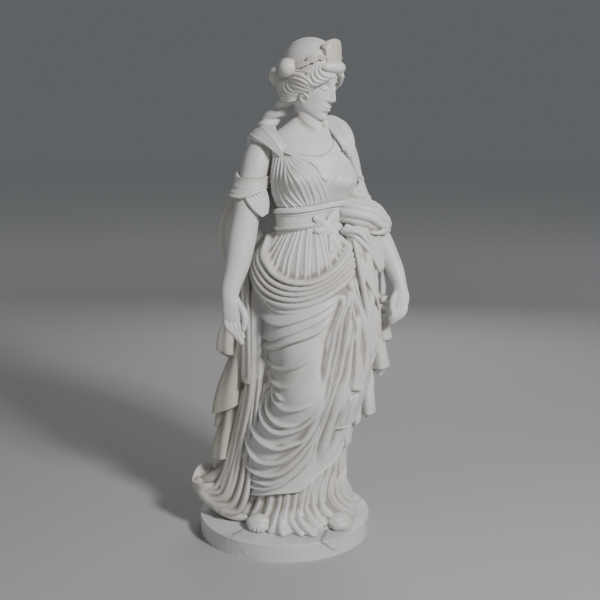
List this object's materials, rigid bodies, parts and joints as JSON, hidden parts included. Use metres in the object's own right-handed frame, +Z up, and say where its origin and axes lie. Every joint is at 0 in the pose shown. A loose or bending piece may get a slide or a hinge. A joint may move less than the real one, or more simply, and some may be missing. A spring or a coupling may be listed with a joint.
{
  "type": "marble statue on a round plinth",
  "caption": "Life-size marble figure of a woman in a pleated gown and mantle, head turned aside, standing on a low round plinth.",
  "frame": {"origin": "centre of the round plinth's underside", "axes": "+Z up; the figure faces -Y; +X to the figure's left hand"},
  "size_m": [0.8034, 0.64, 1.8065],
  "materials": {
    "figure_marble": "honed cream marble, warm tan in the carved recesses",
    "plinth_marble": "honed pale grey marble with faint diagonal veins"
  },
  "bodies": {
    "root": {"figure": "figure_marble", "plinth": "plinth_marble"}
  },
  "joints": []
}
